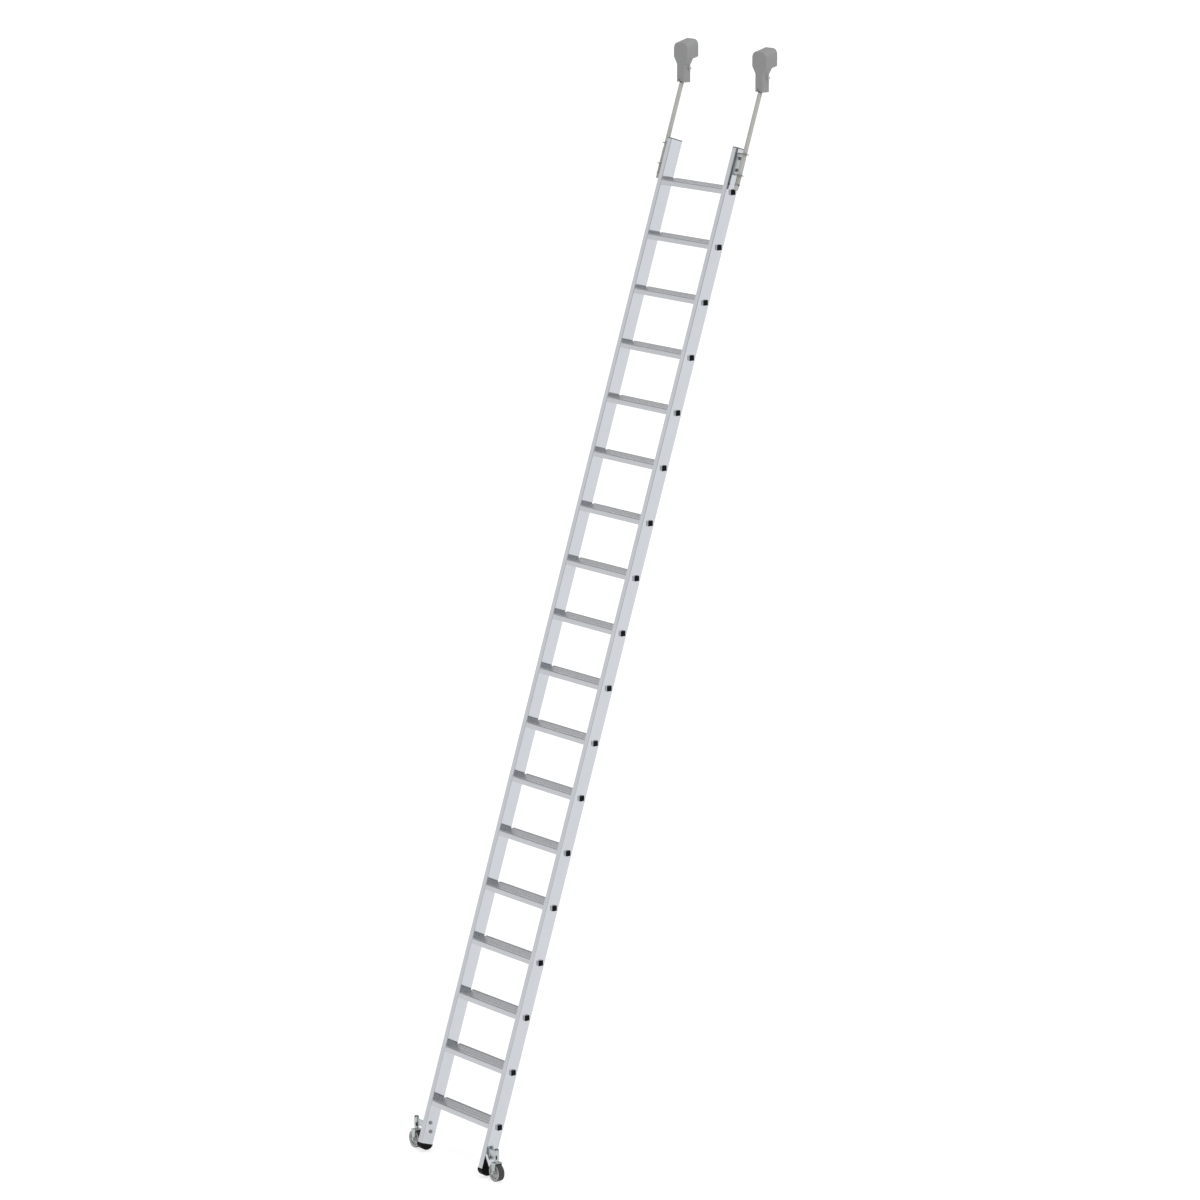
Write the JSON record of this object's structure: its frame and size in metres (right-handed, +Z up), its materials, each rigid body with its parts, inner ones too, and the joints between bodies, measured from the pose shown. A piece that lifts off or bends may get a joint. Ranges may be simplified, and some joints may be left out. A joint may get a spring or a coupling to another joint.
{
  "type": "rolling rail ladder",
  "caption": "Tall leaning aluminium ladder with ribbed treads, sprung castors at the foot and hooded roller heads on rods that run along a rail.",
  "frame": {"origin": "on the floor, midway between the contact points of the two castor wheels", "axes": "+Z up, +X along the rail to the climber's right, +Y from the climber towards the rail"},
  "size_m": [0.692, 1.5702, 4.8986],
  "materials": {
    "stile_aluminium": "mill finish, satin",
    "tread_aluminium": "extruded, ribbed",
    "black_plastic": "moulded, matte",
    "cap_plastic": "moulded, matte",
    "zinc_steel": "zinc plated",
    "dark_steel": "black oxide",
    "rod_steel": "zinc plated, dull",
    "bright_steel": "zinc plated",
    "spring_steel": "oiled spring wire",
    "grey_plastic": "moulded, matte",
    "nylon": "turned, smooth",
    "rim_plastic": "moulded, smooth",
    "tyre_rubber": "moulded, smooth"
  },
  "bodies": {
    "frame": {"stile_left": "stile_aluminium", "stile_right": "stile_aluminium", "tread_01": "tread_aluminium", "tread_02": "tread_aluminium", "tread_03": "tread_aluminium", "tread_04": "tread_aluminium", "tread_05": "tread_aluminium", "tread_06": "tread_aluminium", "tread_07": "tread_aluminium", "tread_08": "tread_aluminium", "tread_09": "tread_aluminium", "tread_10": "tread_aluminium", "tread_11": "tread_aluminium", "tread_12": "tread_aluminium", "tread_13": "tread_aluminium", "tread_14": "tread_aluminium", "tread_15": "tread_aluminium", "tread_16": "tread_aluminium", "tread_17": "tread_aluminium", "tread_18": "tread_aluminium", "tread_plugs": "black_plastic", "stile_caps": "cap_plastic", "foot_left": "black_plastic", "foot_right": "black_plastic", "head_bracket_left": "zinc_steel", "head_bracket_right": "zinc_steel", "bracket_bolts": "dark_steel", "bracket_nuts": "bright_steel", "castor_bracket_left": "zinc_steel", "castor_bracket_right": "zinc_steel", "castor_bracket_bolts": "bright_steel"},
    "rod_left": {"hook_rod_left": "rod_steel", "rod_collar_left": "rod_steel", "rod_pin_left": "bright_steel", "head_spring_left": "spring_steel"},
    "head_left": {"head_housing_left": "grey_plastic", "roller_axles_left": "bright_steel", "pivot_bolt_left": "bright_steel"},
    "roller_left_1": {"roller_left_1": "nylon"},
    "roller_left_2": {"roller_left_2": "nylon"},
    "castor_left": {"castor_fork_left": "zinc_steel", "castor_axle_left": "bright_steel", "castor_spring_left": "spring_steel"},
    "wheel_left": {"castor_rim_left": "rim_plastic", "castor_tyre_left": "tyre_rubber"},
    "rod_right": {"hook_rod_right": "rod_steel", "rod_collar_right": "rod_steel", "rod_pin_right": "bright_steel", "head_spring_right": "spring_steel"},
    "head_right": {"head_housing_right": "grey_plastic", "roller_axles_right": "bright_steel", "pivot_bolt_right": "bright_steel"},
    "roller_right_1": {"roller_right_1": "nylon"},
    "roller_right_2": {"roller_right_2": "nylon"},
    "castor_right": {"castor_fork_right": "zinc_steel", "castor_axle_right": "bright_steel", "castor_spring_right": "spring_steel"},
    "wheel_right": {"castor_rim_right": "rim_plastic", "castor_tyre_right": "tyre_rubber"}
  },
  "joints": [
    {"name": "rod_slide_left", "type": "slide", "parent": "frame", "child": "rod_left", "axis": [0, 0.3024, 0.9532], "range_m": [0, 0.02], "stiffness_N_per_m": 2000, "springref_m": -0.012, "deforming": ["head_spring_left"]},
    {"name": "head_tilt_left", "type": "hinge", "parent": "rod_left", "child": "head_left", "pos_m": [-0.2792, 1.48954, 4.76968], "axis": [1, 0, 0], "range_deg": [-20, 0]},
    {"name": "roller_spin_left_1", "type": "hinge", "parent": "head_left", "child": "roller_left_1", "pos_m": [-0.3027, 1.49279, 4.83678], "axis": [0, 1, 0], "continuous": true},
    {"name": "roller_spin_left_2", "type": "hinge", "parent": "head_left", "child": "roller_left_2", "pos_m": [-0.2557, 1.49279, 4.83678], "axis": [0, 1, 0], "continuous": true},
    {"name": "castor_slide_left", "type": "slide", "parent": "frame", "child": "castor_left", "axis": [0, 0, 1], "range_m": [0, 0.01], "stiffness_N_per_m": 6000, "springref_m": -0.025, "deforming": ["castor_spring_left"]},
    {"name": "wheel_spin_left", "type": "hinge", "parent": "castor_left", "child": "wheel_left", "pos_m": [-0.306, 0, 0.04], "axis": [0, 1, 0], "continuous": true},
    {"name": "rod_slide_right", "type": "slide", "parent": "frame", "child": "rod_right", "axis": [0, 0.3024, 0.9532], "range_m": [0, 0.02], "stiffness_N_per_m": 2000, "springref_m": -0.012, "deforming": ["head_spring_right"]},
    {"name": "head_tilt_right", "type": "hinge", "parent": "rod_right", "child": "head_right", "pos_m": [0.2792, 1.48954, 4.76968], "axis": [1, 0, 0], "range_deg": [-20, 0]},
    {"name": "roller_spin_right_1", "type": "hinge", "parent": "head_right", "child": "roller_right_1", "pos_m": [0.2557, 1.49279, 4.83678], "axis": [0, 1, 0], "continuous": true},
    {"name": "roller_spin_right_2", "type": "hinge", "parent": "head_right", "child": "roller_right_2", "pos_m": [0.3027, 1.49279, 4.83678], "axis": [0, 1, 0], "continuous": true},
    {"name": "castor_slide_right", "type": "slide", "parent": "frame", "child": "castor_right", "axis": [0, 0, 1], "range_m": [0, 0.01], "stiffness_N_per_m": 6000, "springref_m": -0.025, "deforming": ["castor_spring_right"]},
    {"name": "wheel_spin_right", "type": "hinge", "parent": "castor_right", "child": "wheel_right", "pos_m": [0.306, 0, 0.04], "axis": [0, 1, 0], "continuous": true}
  ]
}
